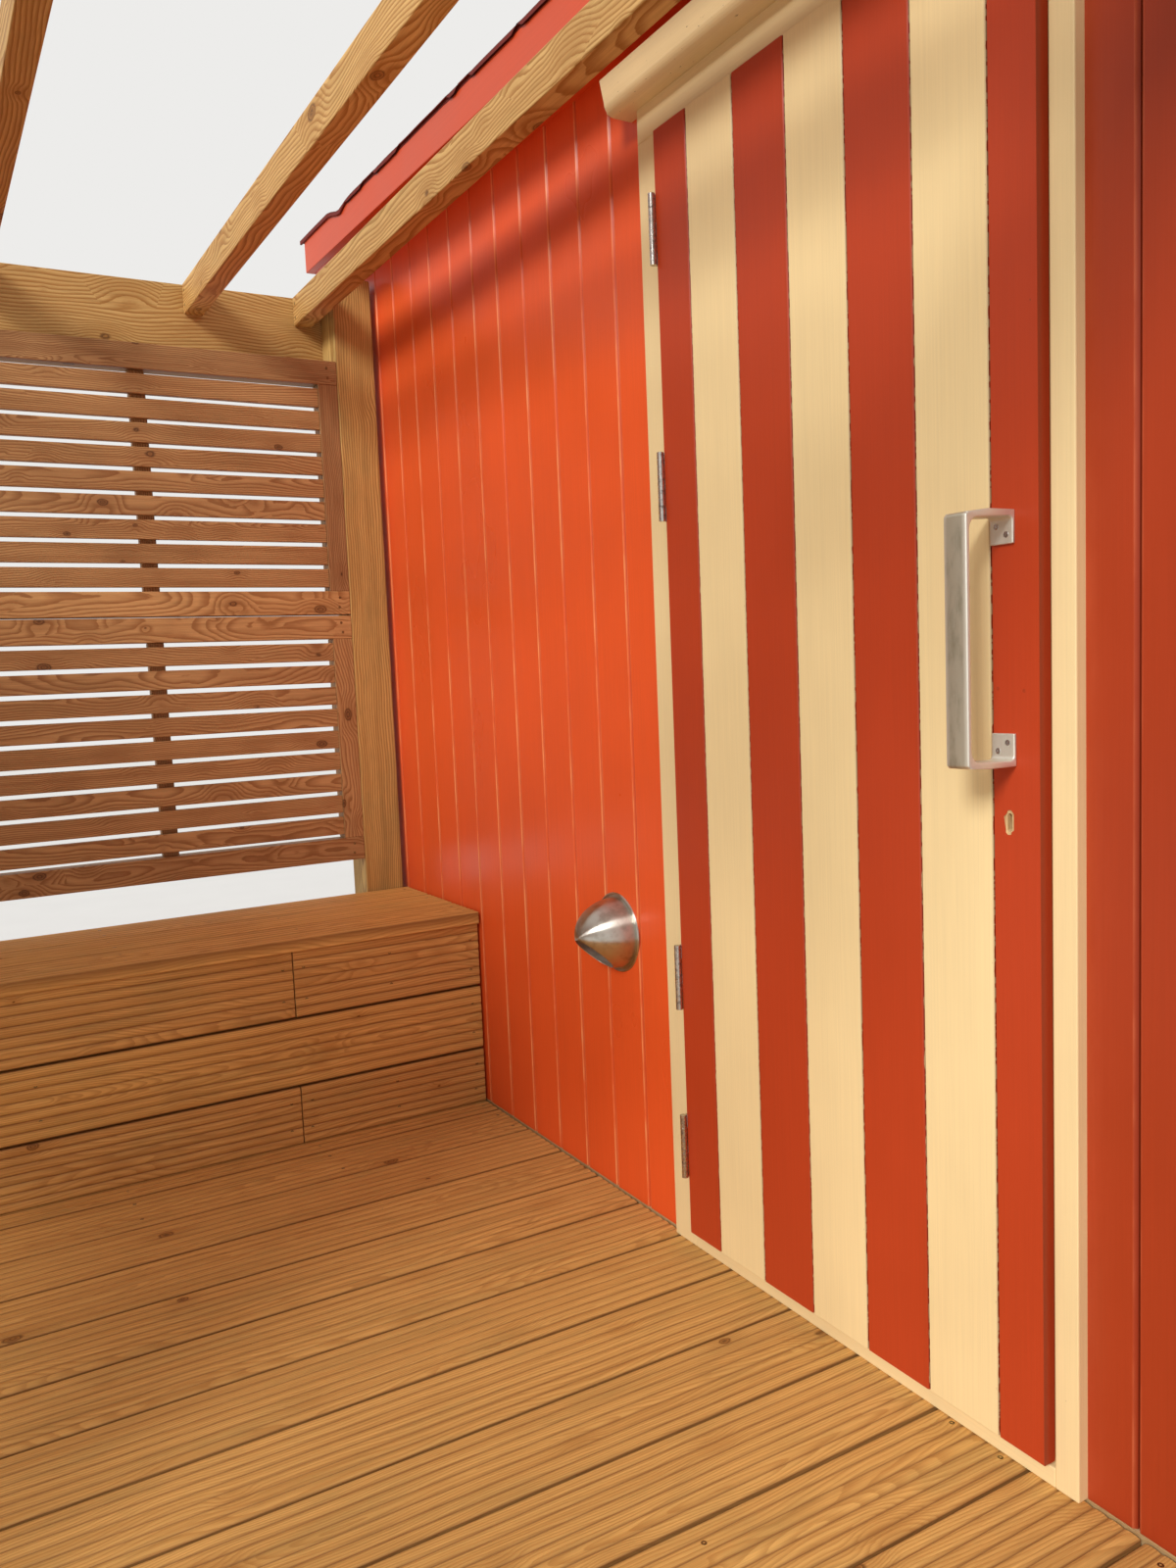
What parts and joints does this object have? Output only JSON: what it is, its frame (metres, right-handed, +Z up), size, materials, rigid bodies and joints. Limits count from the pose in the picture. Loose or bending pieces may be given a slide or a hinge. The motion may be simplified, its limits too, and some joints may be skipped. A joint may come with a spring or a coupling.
{
  "type": "sauna cabin",
  "caption": "Timber sauna cabin with a striped hinged door, flat roof, vent cowl and a boarded terrace with bench, posts, slatted screens and open pergola joists.",
  "frame": {"origin": "middle of the ground rectangle under the whole building, at ground level", "axes": "+X from the terrace through the door into the cabin, +Y along the door wall towards the bench end, +Z up"},
  "size_m": [4.084, 2.605, 2.4276],
  "materials": {
    "cowl_steel": "polished stainless steel",
    "cream_paint": "satin painted timber",
    "deck_timber": "ridged treated softwood boards",
    "frame_timber": "planed treated softwood",
    "handle_metal": "brushed and darkened",
    "hinge_steel": "zinc plated steel",
    "plain_timber": "planed softwood",
    "red_paint": "satin painted timber",
    "roof_felt": "mineral bitumen felt",
    "slat_timber": "planed treated softwood slats",
    "striped_paint": "satin painted boards",
    "wall_timber": "sawn and oiled softwood"
  },
  "bodies": {
    "building": {"beam_far": "frame_timber", "beam_near": "frame_timber", "bench_back_boards": "deck_timber", "bench_bearers": "plain_timber", "bench_end_boards": "deck_timber", "bench_front_boards": "deck_timber", "bench_studs": "plain_timber", "bench_top_boards": "deck_timber", "cabin_bearers": "plain_timber", "cabin_floor": "plain_timber", "deck_boards": "deck_timber", "deck_feet": "plain_timber", "deck_joists": "plain_timber", "deck_rims": "plain_timber", "door_head": "cream_paint", "door_hood": "cream_paint", "door_jamb_far": "cream_paint", "door_jamb_near": "cream_paint", "door_sill": "cream_paint", "door_stops": "cream_paint", "end_screen_lower": "slat_timber", "end_screen_upper": "slat_timber", "far_end_wall": "red_paint", "fascia_far": "red_paint", "fascia_front": "red_paint", "fascia_near": "red_paint", "fascia_rear": "red_paint", "front_wall_far": "red_paint", "front_wall_near": "red_paint", "front_wall_over_door": "red_paint", "hinge_frame_plates": "hinge_steel", "near_end_wall": "red_paint", "pergola_joists": "frame_timber", "post_wall_far": "frame_timber", "post_wall_near": "frame_timber", "posts_outer": "frame_timber", "rear_wall": "red_paint", "roof_covering": "roof_felt", "roof_deck": "plain_timber", "side_screen_lower": "slat_timber", "side_screen_upper": "slat_timber", "vent_cowl": "cowl_steel"},
    "door": {"door_leaf": "striped_paint", "door_ledges": "wall_timber", "hinge_leaf_plates": "hinge_steel", "door_handle": "handle_metal"}
  },
  "joints": [
    {"name": "door_hinge", "type": "hinge", "parent": "building", "child": "door", "pos_m": [-0.059, -0.158, 1.2365], "axis": [0, 0, -1], "range_deg": [0, 105]}
  ]
}
